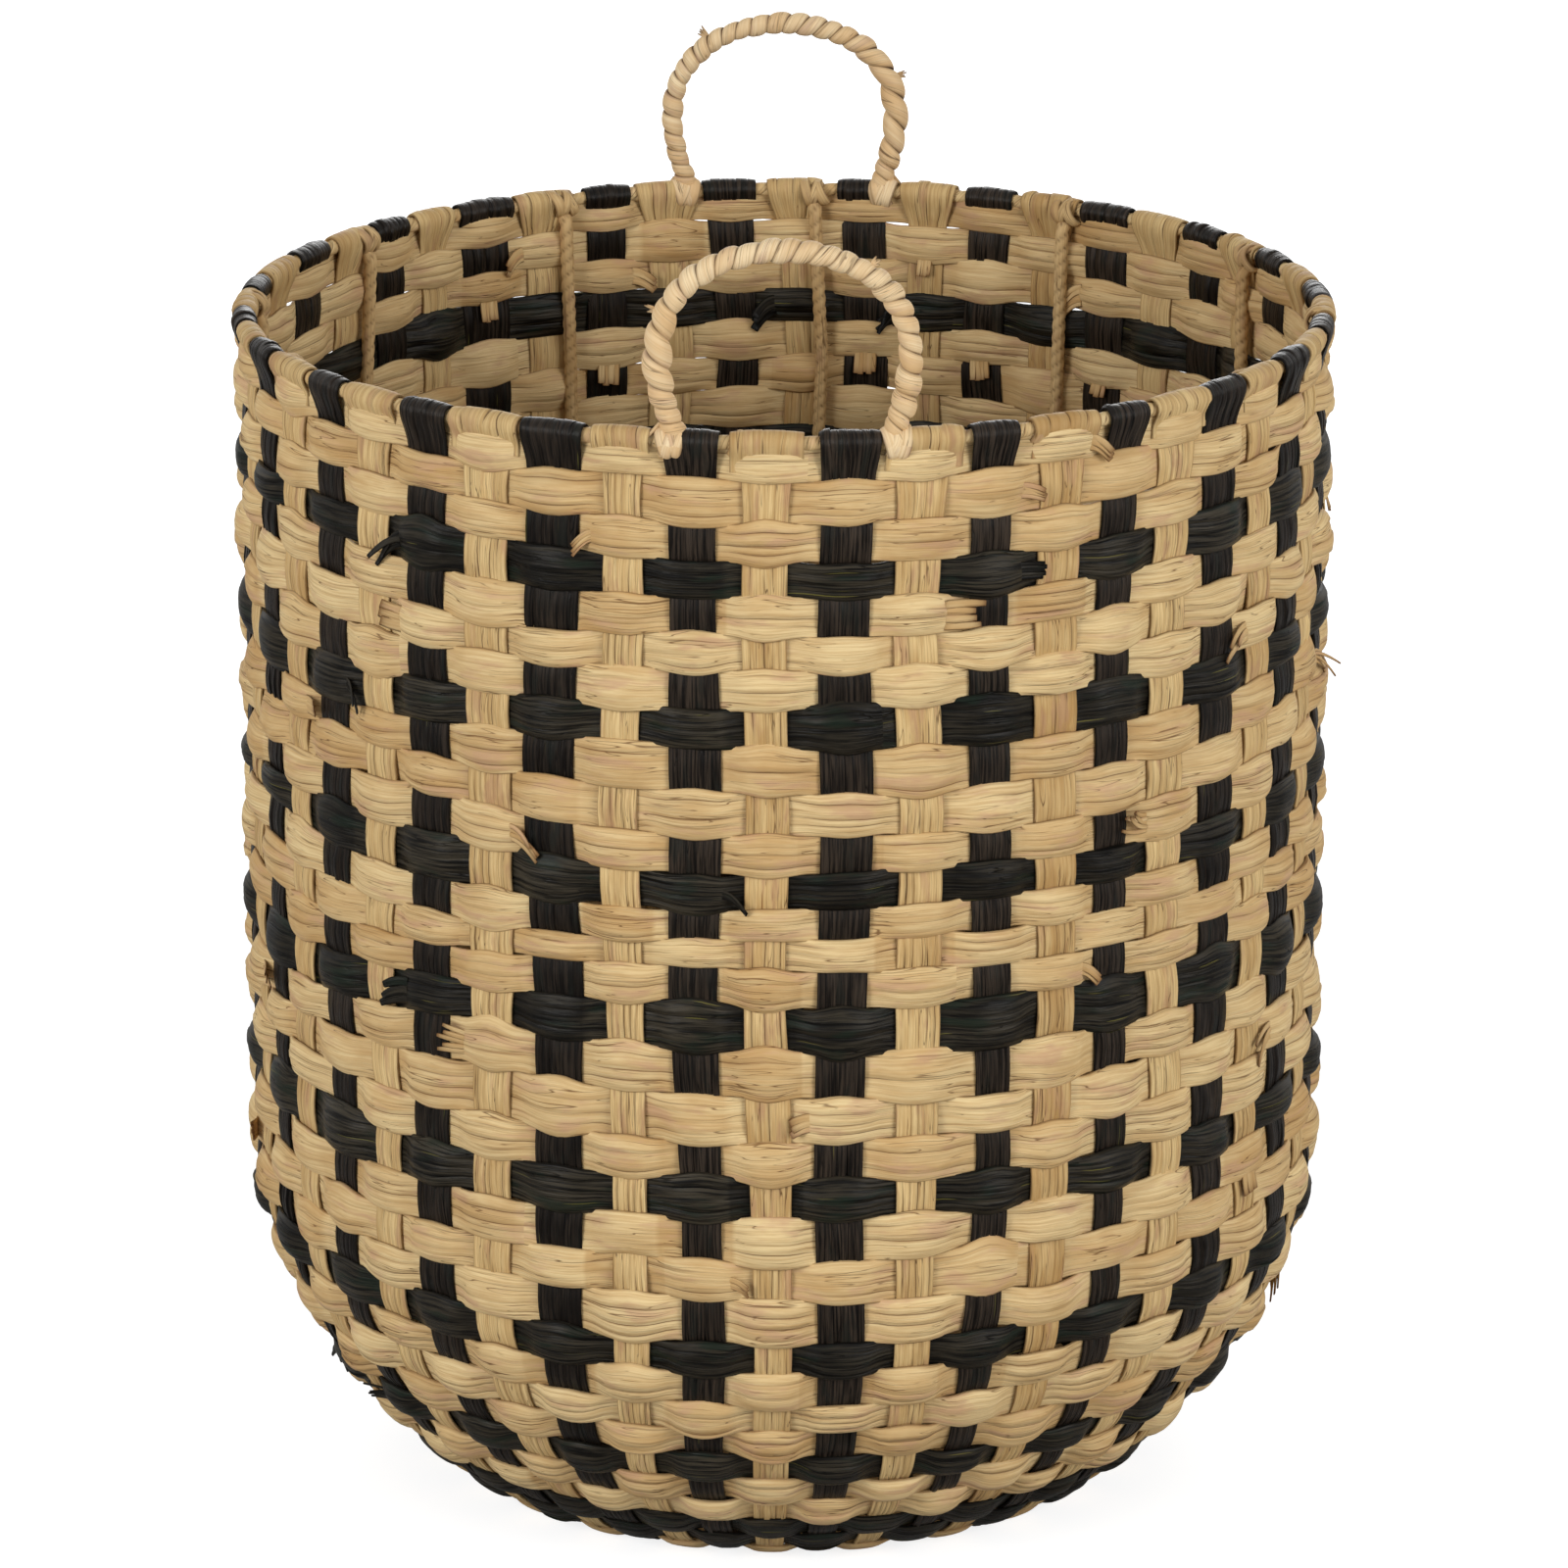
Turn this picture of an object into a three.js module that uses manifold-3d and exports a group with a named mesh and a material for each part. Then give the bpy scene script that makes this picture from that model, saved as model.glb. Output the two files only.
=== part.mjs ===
// Round storage basket woven from flat strips of dried water hyacinth on a wire frame.
// Millimetres, +Z up. The front handle stands on the -Y side and the back handle on the +Y side.
// Twenty four long strips cross in a mat under the basket, turn up round it as forty eight
// stakes and fold over the rim wire. Flat weavers run round the stakes, one ring to a row.
import * as THREE from 'three';
import Module from 'manifold-3d';

// Body
const bodyRadius = 200;
const rimHeight = 441;
const baseRadius = 118;
const cornerHeight = 124;
const cornerReach = 16;
const cornerDrop = 57;
const clearance = 0.3;

// Strips that cross in the mat and turn up as stakes
const lengthwiseStrips = 13;
const crosswiseStrips = 11;
const stripThickness = 1.0;
const matPitch = 14;
const matCover = 0.66;
const stakeCover = 0.5;

// Weavers, counted from the rim down
const rowCount = 31;
const blackRowEvery = 4;
const weaverCrown = 1.4;
const rowGap = 1.0;
const lowestRowArc = 33;
const rimRowDrop = 13.5;
const rowsPerFacet = 2;

// Wire frame
const rimWireRadius = 2.4;
const uprightCount = 12;
const uprightRadius = 2.6;
const frameSides = 5;

// Handles
const handleRise = 66;
const handleBulge = 22;
const handleStakeSteps = 1.5;
const handleWireRadius = 2.5;
const handleWireSteps = 24;
const handleWireSides = 6;
const windingTurns = 24;
const windingWidth = 5.4;
const windingThickness = 1.6;
const windingSteps = 6;

const stakeCount = 2 * (lengthwiseStrips + crosswiseStrips);
const stakeAngle = (2 * Math.PI) / stakeCount;

// A weaver swings this far to each side of the stakes. Its straight run between two stakes
// has to pass the edge of a stake, and lies nearer the middle of the basket than the round does.
const chordSag = bodyRadius * (1 - Math.cos(stakeAngle / 2));
const passing = (stripThickness + weaverCrown) / 2 + clearance;
const weaveDepth = (passing + chordSag) / (1 - stakeCover);
const stakeRadius = bodyRadius - weaveDepth - weaverCrown / 2;

// The strips of the mat swing this far up and down where they cross
const matDepth = (stripThickness + clearance) / 2 / (1 - matCover);
const floorLevel = stripThickness / 2;
const matLevel = floorLevel + matDepth;
const shortestLanding = matPitch / 4;

// Rim: each stake bends round the wire on this radius
const foldRadius = rimWireRadius + stripThickness / 2 + 2 * clearance;
const rimWireLevel = rimHeight - stripThickness / 2 - foldRadius;

const naturalWeaver = new THREE.MeshStandardMaterial({ color: 0xd6b880, roughness: 0.72, metalness: 0 });
const naturalStake = new THREE.MeshStandardMaterial({ color: 0xc9a76c, roughness: 0.76, metalness: 0 });
const blackWeaver = new THREE.MeshStandardMaterial({ color: 0x24292b, roughness: 0.55, metalness: 0 });
const blackStake = new THREE.MeshStandardMaterial({ color: 0x1f2022, roughness: 0.6, metalness: 0 });
const wrappedWire = new THREE.MeshStandardMaterial({ color: 0xa98c5c, roughness: 0.8, metalness: 0 });
const handleSteel = new THREE.MeshStandardMaterial({ color: 0x4b4a47, roughness: 0.5, metalness: 0.9 });
const handleStrip = new THREE.MeshStandardMaterial({ color: 0xdcc190, roughness: 0.7, metalness: 0 });

const wasm = await Module();
wasm.setup();

const basket = new THREE.Group();

function addPiece(name, geometry, material) {
  const mesh = new THREE.Mesh(geometry, material);
  mesh.name = name;
  basket.add(mesh);
  return mesh;
}

// Joins a row of sections, each the same number of points in order round the piece,
// into one closed body. A ring joins its last section to its first, others get end caps.
function loftSections(sections, isRing) {
  const sides = sections[0].length;
  const positions = sections.flat().flatMap((point) => point.toArray());
  const indices = [];
  const spans = isRing ? sections.length : sections.length - 1;
  for (let i = 0; i < spans; i += 1) {
    const here = i * sides;
    const next = ((i + 1) % sections.length) * sides;
    for (let j = 0; j < sides; j += 1) {
      const k = (j + 1) % sides;
      indices.push(here + j, next + j, next + k);
      indices.push(here + j, next + k, here + k);
    }
  }
  if (!isRing) {
    const last = (sections.length - 1) * sides;
    for (let j = 1; j < sides - 1; j += 1) {
      indices.push(0, j, j + 1);
      indices.push(last, last + j + 1, last + j);
    }
  }
  const geometry = new THREE.BufferGeometry();
  geometry.setAttribute('position', new THREE.Float32BufferAttribute(positions, 3));
  geometry.setIndex(indices);
  if (signedVolume(geometry) < 0) {
    geometry.setIndex(indices.reverse());
  }
  geometry.computeVertexNormals();
  return geometry;
}

function signedVolume(geometry) {
  const position = geometry.getAttribute('position');
  const index = geometry.getIndex();
  const corners = [new THREE.Vector3(), new THREE.Vector3(), new THREE.Vector3()];
  let volume = 0;
  for (let i = 0; i < index.count; i += 3) {
    corners.forEach((corner, j) => corner.fromBufferAttribute(position, index.getX(i + j)));
    volume += corners[0].dot(corners[1].cross(corners[2])) / 6;
  }
  return volume;
}

// Wall outline in radius and height, from the edge of the mat to the rim
const outline = new THREE.CurvePath();
outline.add(new THREE.CubicBezierCurve(
  new THREE.Vector2(baseRadius, floorLevel),
  new THREE.Vector2(baseRadius + cornerReach, floorLevel),
  new THREE.Vector2(stakeRadius, cornerHeight - cornerDrop),
  new THREE.Vector2(stakeRadius, cornerHeight),
));
outline.add(new THREE.LineCurve(
  new THREE.Vector2(stakeRadius, cornerHeight),
  new THREE.Vector2(stakeRadius, rimWireLevel),
));
const outlineLength = outline.getLength();
const cornerLength = outline.curves[0].getLength();
const rimRowArc = outlineLength - (rimRowDrop - (rimHeight - rimWireLevel));
const rowPitch = (rimRowArc - lowestRowArc) / (rowCount - 1);
const rowWidth = rowPitch - rowGap;

// The round of the corner is cut into flat facets that meet between rows
const knots = [{ arc: 0, point: outline.getPoint(0) }];
for (let arc = lowestRowArc - rowPitch / 2; arc < cornerLength; arc += rowsPerFacet * rowPitch) {
  knots.push({ arc, point: outline.getPoint(arc / outlineLength) });
}
knots.push({ arc: outlineLength, point: outline.getPoint(1) });

// Place on the wall at a distance along the outline: radius and height, the way up the wall
// and the way out of it
function wallPlace(arc) {
  let i = 0;
  while (i < knots.length - 2 && arc > knots[i + 1].arc) {
    i += 1;
  }
  const share = (arc - knots[i].arc) / (knots[i + 1].arc - knots[i].arc);
  const point = knots[i].point.clone().lerp(knots[i + 1].point, share);
  const up = knots[i + 1].point.clone().sub(knots[i].point).normalize();
  const out = new THREE.Vector2(up.y, -up.x);
  return { point, up, out };
}

// Angles run from the front of the basket towards +X
function around(angle, radius, height) {
  return new THREE.Vector3(radius * Math.sin(angle), -radius * Math.cos(angle), height);
}

function fromWall(angle, place, along, outward) {
  const flat = place.point.clone().addScaledVector(place.up, along).addScaledVector(place.out, outward);
  return around(angle, flat.x, flat.y);
}

// Weavers. Even rows pass outside the natural stakes and odd rows outside the black ones.
function weaverRing(row) {
  const place = wallPlace(rimRowArc - row * rowPitch);
  const sections = [];
  for (let stake = 0; stake < stakeCount; stake += 1) {
    const angle = stake * stakeAngle;
    const swing = (stake + row) % 2 === 0 ? weaveDepth : -weaveDepth;
    sections.push([
      fromWall(angle, place, -rowWidth / 2, swing - weaverCrown / 2),
      fromWall(angle, place, rowWidth / 2, swing - weaverCrown / 2),
      fromWall(angle, place, 0, swing + weaverCrown / 2),
    ]);
  }
  return loftSections(sections, true);
}

for (let row = 0; row < rowCount; row += 1) {
  const isBlack = row % blackRowEvery === blackRowEvery - 1 || row === rowCount - 1;
  const number = String(row + 1).padStart(2, '0');
  const name = isBlack ? `weaver_${number}_black` : `weaver_${number}_natural`;
  addPiece(name, weaverRing(row), isBlack ? blackWeaver : naturalWeaver);
}

// Strips. A station is a point in the middle of the strip, the direction across the strip
// and the width there. The thickness is laid off square to both runs that meet at it, and
// reaches no further up or down than on a level run.
function loftStrip(stations) {
  const normals = [];
  for (let i = 0; i < stations.length - 1; i += 1) {
    const run = stations[i + 1].point.clone().sub(stations[i].point);
    const across = stations[i].across.clone().add(stations[i + 1].across);
    normals.push(across.cross(run).normalize());
  }
  const sections = stations.map((station, i) => {
    const before = normals[Math.max(i - 1, 0)];
    const after = normals[Math.min(i, normals.length - 1)];
    const normal = before.clone().add(after).normalize();
    const half = normal.clone().multiplyScalar(stripThickness / 2 / normal.dot(after));
    half.multiplyScalar(stripThickness / 2 / Math.max(stripThickness / 2, Math.abs(half.z)));
    const side = station.across.clone().multiplyScalar(station.width / 2);
    return [
      station.point.clone().add(side).add(half),
      station.point.clone().sub(side).add(half),
      station.point.clone().sub(side).sub(half),
      station.point.clone().add(side).sub(half),
    ];
  });
  return loftSections(sections, false);
}

// Stations of one stake from the edge of the mat up the wall and over the rim wire.
// Black stakes pass outside the wire and natural ones inside it.
function stakeStations(stake) {
  const angle = stake * stakeAngle;
  const across = new THREE.Vector3(Math.cos(angle), Math.sin(angle), 0);
  const station = (radius, height) => ({
    point: around(angle, radius, height),
    across,
    width: stakeCover * Math.min(radius, stakeRadius) * stakeAngle,
  });
  const side = stake % 2 === 0 ? -foldRadius : foldRadius;
  const chamfer = Math.tan(Math.PI / 8);
  const rimRowLevel = rimHeight - rimRowDrop;
  return [
    ...knots.slice(0, -1).map(({ point }) => station(point.x, point.y)),
    station(stakeRadius, rimRowLevel - rowPitch / 2),
    station(stakeRadius + side, rimWireLevel + foldRadius * chamfer),
    station(stakeRadius + side * chamfer, rimWireLevel + foldRadius),
    station(stakeRadius - side * chamfer, rimWireLevel + foldRadius),
    station(stakeRadius - side, rimWireLevel + foldRadius * chamfer),
    station(stakeRadius - side, rimRowLevel + rowWidth / 2 + clearance),
  ];
}

// Stations of one strip across the mat. Lengthwise strips lie over the others where the
// two places add up to an odd number, and past the last crossing a strip drops to the floor.
function matStations(place, isLengthwise) {
  const crossings = isLengthwise ? crosswiseStrips : lengthwiseStrips;
  const reach = (crossings - 1) / 2;
  const across = isLengthwise ? new THREE.Vector3(1, 0, 0) : new THREE.Vector3(0, 1, 0);
  const station = (along, height) => ({
    point: isLengthwise
      ? new THREE.Vector3(place * matPitch, along * matPitch, height)
      : new THREE.Vector3(along * matPitch, place * matPitch, height),
    across,
    width: matCover * matPitch,
  });
  const stations = [];
  for (let crossing = -reach; crossing <= reach; crossing += 1) {
    const isOver = ((place + crossing) % 2 !== 0) === isLengthwise;
    stations.push(station(crossing, matLevel + (isOver ? matDepth : -matDepth)));
  }
  const landing = Math.hypot(place, reach + 1) * matPitch;
  const isOverAtEdge = ((place + reach) % 2 !== 0) === isLengthwise;
  if (isOverAtEdge && landing < baseRadius - shortestLanding) {
    stations.unshift(station(-reach - 1, floorLevel));
    stations.push(station(reach + 1, floorLevel));
  }
  return stations;
}

// Stations of a stake, with the direction across them facing the way it does in the mat
function facing(stations, across) {
  const sign = Math.sign(across.dot(stations[0].across));
  return stations.map((station) => ({ ...station, across: station.across.clone().multiplyScalar(sign) }));
}

function addStrip(place, isLengthwise) {
  const quarter = stakeCount / 4;
  const nearStake = isLengthwise ? place : 3 * quarter - place;
  const farStake = isLengthwise ? 2 * quarter - place : quarter + place;
  const middle = matStations(place, isLengthwise);
  const near = facing(stakeStations(nearStake), middle[0].across);
  const far = facing(stakeStations(farStake), middle[0].across);
  const stripCount = isLengthwise ? lengthwiseStrips : crosswiseStrips;
  const number = String(place + (stripCount + 1) / 2).padStart(2, '0');
  const direction = isLengthwise ? 'lengthwise' : 'crosswise';
  const isNatural = place % 2 === 0;
  const name = `${direction}_strip_${number}_${isNatural ? 'natural' : 'black'}`;
  addPiece(name, loftStrip([...near.reverse(), ...middle, ...far]), isNatural ? naturalStake : blackStake);
}

for (let place = -(lengthwiseStrips - 1) / 2; place <= (lengthwiseStrips - 1) / 2; place += 1) {
  addStrip(place, true);
}
for (let place = -(crosswiseStrips - 1) / 2; place <= (crosswiseStrips - 1) / 2; place += 1) {
  addStrip(place, false);
}

// Wire frame: a rim ring and uprights that follow the inside of the weave
function solidOf(geometry) {
  return new wasm.Manifold(new wasm.Mesh({
    numProp: 3,
    vertProperties: geometry.getAttribute('position').array,
    triVerts: new Uint32Array(geometry.getIndex().array),
  }));
}

function geometryOf(solid) {
  const mesh = solid.getMesh();
  const geometry = new THREE.BufferGeometry();
  geometry.setAttribute('position', new THREE.BufferAttribute(mesh.vertProperties, 3));
  geometry.setIndex(new THREE.BufferAttribute(mesh.triVerts, 1));
  geometry.computeVertexNormals();
  return geometry;
}

// Round section about a point, laid off along two directions square to the run of the wire
function roundSection(point, sideways, upward, radius, sides) {
  return Array.from({ length: sides }, (_, i) => {
    const turn = (2 * Math.PI * i) / sides;
    return point.clone()
      .addScaledVector(sideways, radius * Math.cos(turn))
      .addScaledVector(upward, radius * Math.sin(turn));
  });
}

// The ring is cut into straight runs, and a stake folds over the middle of each
function rimRing() {
  const bendRadius = stakeRadius / Math.cos(stakeAngle / 2);
  const upward = new THREE.Vector3(0, 0, 1);
  const sections = [];
  for (let i = 0; i < stakeCount; i += 1) {
    const angle = (i + 0.5) * stakeAngle;
    const centre = around(angle, bendRadius, rimWireLevel);
    sections.push(roundSection(centre, around(angle, 1, 0), upward, rimWireRadius, frameSides));
  }
  return loftSections(sections, true);
}

// Outline of an upright in radius and height: from the rim ring inward, down inside the
// weave and round the corner, where it keeps clear of the lowest and steepest weavers
function uprightPath() {
  const slope = (2 * weaveDepth) / (knots[1].point.x * stakeAngle);
  const depth = weaverCrown / 2 + clearance + uprightRadius * (1 + slope);
  const top = new THREE.Vector2(stakeRadius, rimWireLevel);
  const wall = [top, ...knots.slice(0, -1).map((knot) => knot.point).reverse()];
  const path = [top, new THREE.Vector2(stakeRadius - depth, rimWireLevel)];
  for (let i = 1; i < wall.length - 1; i += 1) {
    const above = wall[i - 1].clone().sub(wall[i]).normalize();
    const below = wall[i].clone().sub(wall[i + 1]).normalize();
    const run = above.clone().add(below).normalize();
    const inward = new THREE.Vector2(-run.y, run.x);
    path.push(wall[i].clone().addScaledVector(inward, depth / run.dot(above)));
  }
  return path;
}

function upright(angle) {
  const path = uprightPath();
  const across = new THREE.Vector3(Math.cos(angle), Math.sin(angle), 0);
  const sections = path.map((point, i) => {
    const before = point.clone().sub(path[Math.max(i - 1, 0)]).normalize();
    const after = path[Math.min(i + 1, path.length - 1)].clone().sub(point).normalize();
    const run = before.clone().add(after).normalize();
    const stretch = 1 / Math.max(run.dot(before), run.dot(after));
    const square = around(angle, -run.y, run.x).multiplyScalar(stretch);
    return roundSection(around(angle, point.x, point.y), across, square, uprightRadius, frameSides);
  });
  return loftSections(sections, false);
}

let frame = solidOf(rimRing());
for (let i = 0; i < uprightCount; i += 1) {
  frame = frame.add(solidOf(upright((i * 2 * Math.PI) / uprightCount - stakeAngle / 2)));
}
addPiece('wire_frame', geometryOf(frame), wrappedWire);

// Handles: a bent wire arch that stands on the rim ring between two folds, wound with a strip
class HandleArch extends THREE.Curve {
  constructor(side) {
    super();
    this.side = side;
    this.halfFoot = stakeRadius * Math.sin(handleStakeSteps * stakeAngle);
    this.y = side * stakeRadius * Math.cos(handleStakeSteps * stakeAngle);
    const lean = Math.atan2(handleBulge, handleRise);
    this.base = rimWireLevel + rimWireRadius + clearance + handleWireRadius * Math.sin(lean);
    this.rise = rimHeight + handleRise - handleWireRadius - windingThickness - this.base;
  }

  getPoint(t, target = new THREE.Vector3()) {
    const turn = Math.PI * t;
    const x = -Math.cos(turn) * (this.halfFoot + handleBulge * Math.sin(turn));
    return target.set(-this.side * x, this.y, this.base + this.rise * Math.sin(turn));
  }
}

function handleWire(arch) {
  const depthwise = new THREE.Vector3(0, 1, 0);
  const sections = [];
  for (let i = 0; i <= handleWireSteps; i += 1) {
    const upward = arch.getTangent(i / handleWireSteps).cross(depthwise);
    const centre = arch.getPoint(i / handleWireSteps);
    sections.push(roundSection(centre, depthwise, upward, handleWireRadius, handleWireSides));
  }
  return loftSections(sections, false);
}

// The winding is one unbroken strip, flat inside and ridged outside. Its turns run from foot
// to foot of the arch.
function windingSections(arch) {
  const depthwise = new THREE.Vector3(0, 1, 0);
  const inner = (handleWireRadius + clearance) / Math.cos(Math.PI / windingSteps);
  const margin = (windingWidth / 2 + windingThickness) / arch.getLength();
  const count = windingTurns * windingSteps;
  const sections = [];
  for (let i = 0; i <= count; i += 1) {
    const share = margin + (1 - 2 * margin) * (i / count);
    const centre = arch.getPointAt(share);
    const tangent = arch.getTangentAt(share);
    const upward = tangent.clone().cross(depthwise);
    const turn = (2 * Math.PI * i) / windingSteps;
    const out = depthwise.clone().multiplyScalar(Math.cos(turn)).addScaledVector(upward, Math.sin(turn));
    const middle = centre.clone().addScaledVector(out, inner);
    sections.push([
      middle.clone().addScaledVector(tangent, -windingWidth / 2),
      middle.clone().addScaledVector(tangent, windingWidth / 2),
      middle.clone().addScaledVector(out, windingThickness),
    ]);
  }
  return sections;
}

// Least distance between the corners of sections that are three quarters of a turn or more apart
function leastSelfGap(sections) {
  const apart = Math.ceil((3 * windingSteps) / 4);
  let least = Infinity;
  for (let i = 0; i < sections.length; i += 1) {
    for (const other of sections.slice(i + apart).flat()) {
      least = Math.min(least, ...sections[i].map((point) => point.distanceTo(other)));
    }
  }
  return least;
}

for (const [name, side] of [['front', -1], ['back', 1]]) {
  const arch = new HandleArch(side);
  const sections = windingSections(arch);
  addPiece(`${name}_handle_wire`, handleWire(arch), handleSteel);
  addPiece(`${name}_handle_winding`, loftSections(sections, false), handleStrip);
  console.log(`${name} handle winding, least gap to itself ${leastSelfGap(sections).toFixed(2)} mm`);
}

export default basket;
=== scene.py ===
"""Looks of a round basket woven from water hyacinth strips. Metres, +Z up, front towards -Y."""
import math
from functools import partial

import bpy
import numpy as np
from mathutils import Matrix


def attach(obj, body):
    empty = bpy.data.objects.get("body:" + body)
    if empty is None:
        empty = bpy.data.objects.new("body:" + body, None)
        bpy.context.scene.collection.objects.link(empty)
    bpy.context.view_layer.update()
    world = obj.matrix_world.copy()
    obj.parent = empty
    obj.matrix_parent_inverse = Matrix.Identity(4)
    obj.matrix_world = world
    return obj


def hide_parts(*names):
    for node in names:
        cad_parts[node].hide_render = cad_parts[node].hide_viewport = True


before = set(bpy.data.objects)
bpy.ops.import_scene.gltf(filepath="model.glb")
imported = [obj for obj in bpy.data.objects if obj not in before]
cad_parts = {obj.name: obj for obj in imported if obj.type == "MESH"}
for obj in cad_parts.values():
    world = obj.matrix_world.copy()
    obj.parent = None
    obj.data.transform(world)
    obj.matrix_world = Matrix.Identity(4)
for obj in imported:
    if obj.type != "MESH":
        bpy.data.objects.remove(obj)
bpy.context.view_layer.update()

# Stakes
# Twenty four long strips of flattened, dried hyacinth stem, natural and black in turn. They cross
# in a mat under the basket, turn up as 48 stakes and fold over the rim wire, black from outside
# and natural from inside, and their ends tuck behind the first round.
MM = 0.001
stake_count = 48
quarter = stake_count // 4
stake_angle = 2 * math.pi / stake_count

# They follow a wall with a flat foot, a rounded corner and a straight side. A place on it is
# counted in stakes round from the front towards +X, in metres up the wall from its foot, and in
# metres out of it.
base_radius = 118 * MM
foot_level = 2.2 * MM
corner_reach = 16 * MM
corner_drop = 57 * MM
corner_height = 124 * MM
stake_radius = 195.4 * MM
stake_pitch = stake_radius * stake_angle
rim_wire_level = 437 * MM
above_rim = 12 * MM
corner_points = 400
side_points = 200


def unit(vectors):
    """Vectors divided by their lengths."""
    return vectors / np.linalg.norm(vectors, axis=-1, keepdims=True)


def arc_along(points):
    """Length along a row of points up to each of them: the sum of the steps between them."""
    return np.concatenate([[0], np.cumsum(np.linalg.norm(np.diff(points, axis=0), axis=1))])


def wall_outline():
    """Arc length at points of the wall, and their radius, height and unit way up: a cubic Bezier
    curve round the corner, then a straight line up past the rim wire."""
    t = np.linspace(0, 1, corner_points)[:, None]
    foot, lean, rise, side, top = np.array([
        (base_radius, foot_level), (base_radius + corner_reach, foot_level),
        (stake_radius, corner_height - corner_drop), (stake_radius, corner_height),
        (stake_radius, rim_wire_level + above_rim)])
    corner = ((1 - t) ** 3 * foot + 3 * (1 - t) ** 2 * t * lean
              + 3 * (1 - t) * t ** 2 * rise + t ** 3 * side)
    points = np.vstack([corner, np.linspace(side, top, side_points)[1:]])
    arc = arc_along(points)
    return arc, np.hstack([points, unit(np.gradient(points, arc, axis=0))])


outline_arc, outline = wall_outline()
rim_arc = outline_arc[-1] - above_rim


def around(angle, radius, height):
    """Points of a circle: radius times sine and minus cosine of the angle from the front."""
    angle, radius, height = np.broadcast_arrays(angle, radius, height)
    return np.stack([radius * np.sin(angle), -radius * np.cos(angle), height], axis=-1)


def tangent(angle):
    """Unit way round the basket at an angle from the front: its cosine and sine."""
    return np.array([math.cos(angle), math.sin(angle), 0.0])


def eased(values, place):
    """Values set at every whole place, joined by half a cosine wave. The places are the last axis
    of the values, and they close on themselves."""
    low = np.floor(place).astype(int)
    share = (1 - np.cos(math.pi * (place - low))) / 2
    count = values.shape[-1]
    return values[..., low % count] * (1 - share) + values[..., (low + 1) % count] * share


def smooth(share):
    """A share from 0 to 1 with soft ends: three times its square less twice its cube."""
    return share * share * (3 - 2 * share)


# The weave sits a little turned against the handles, and its stakes stray on their way up.
weave_turn = -0.2
stray = 1.6 * MM
stray_levels = 8
stray_rng = np.random.default_rng(5)
stray_grid = stray_rng.normal(0, stray / stake_pitch, (stray_levels, stake_count))
stray_grid = (stray_grid + np.roll(stray_grid, 1, axis=1)) / math.sqrt(2)

# Inside the foot of the wall the stakes fan in to the edges of a flat mat, in which lengthwise
# strips cross crosswise ones.
lengthwise_strips = 13
crosswise_strips = 11
lengthwise_places, crosswise_places = (
    range(-(count // 2), count // 2 + 1) for count in (lengthwise_strips, crosswise_strips))
mat_pitch = 14 * MM
past_mat = 0.4
mat_x, mat_y = (
    ((count - 1) / 2 + past_mat) * mat_pitch for count in (lengthwise_strips, crosswise_strips))
mat_edge = np.zeros((stake_count, 2))
for place in lengthwise_places:
    mat_edge[place % stake_count] = place * mat_pitch, -mat_y
    mat_edge[2 * quarter - place] = place * mat_pitch, mat_y
for place in crosswise_places:
    mat_edge[3 * quarter - place] = -mat_x, place * mat_pitch
    mat_edge[quarter + place] = mat_x, place * mat_pitch
foot_angle = (np.arange(stake_count) + weave_turn + stray_grid[0]) * stake_angle
fan_length = np.linalg.norm(around(foot_angle, base_radius, 0.0)[:, :2] - mat_edge, axis=1)


def on_wall(place, arc, outward):
    """Points on the wall: radius and height read off the outline, plus the way out of the wall
    times the distance out of it. The place is turned and strays with the grid of stakes by
    levels, read between its levels in a straight line. A negative arc lies on the flat fan of
    lines between the foot of the wall and the edge of the mat."""
    place, arc = np.broadcast_arrays(place, arc)
    level = np.clip(arc / rim_arc, 0, 1) * (stray_levels - 1.001)
    grid = eased(stray_grid, place)
    low = np.floor(level).astype(int)[None]
    below = np.take_along_axis(grid, low, axis=0)[0]
    above = np.take_along_axis(grid, low + 1, axis=0)[0]
    strayed = place + weave_turn + below + (above - below) * (level - low[0])
    radius, height, up_radius, up_height = (
        np.interp(arc, outline_arc, column) for column in outline.T)
    points = around(
        strayed * stake_angle, radius + outward * up_height, height - outward * up_radius)
    first = np.floor(place).astype(int)
    between = (place - first)[..., None]
    edge = (mat_edge[first % stake_count] * (1 - between)
            + mat_edge[(first + 1) % stake_count] * between)
    span = edge - points[..., :2]
    points[..., :2] += span * np.clip(-arc / np.linalg.norm(span, axis=-1), 0, 1)[..., None]
    return points


# A stake swings away from the rounds of weaving, which lie evenly from the rim down, apart from
# the unevenness of hand work: they are packed high at the back and the front, there closest
# around the fifteenth round.
row_count = 31
base_rows = 2
fan_rows = 3
rim_row_drop = 9.5 * MM
lowest_row_arc = 33 * MM
rim_row_arc = rim_arc - rim_row_drop
row_pitch = (rim_row_arc - lowest_row_arc) / (row_count - 1)
top_edge_lift = 2 * MM
lift_rows = 3
front_lift = 5 * MM
front_end_row = 23
front_fade_rows = 6
back_lift = 7 * MM
back_end_row = 25
back_fade_rows = 20
packed_lift = 6 * MM
packed_row = 15
packed_spread = 1.8
slow_wave = 1.5 * MM
edge_drift = 1.5 * MM
rim_edge_drift = 0.3
calm_rows = 4


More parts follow.
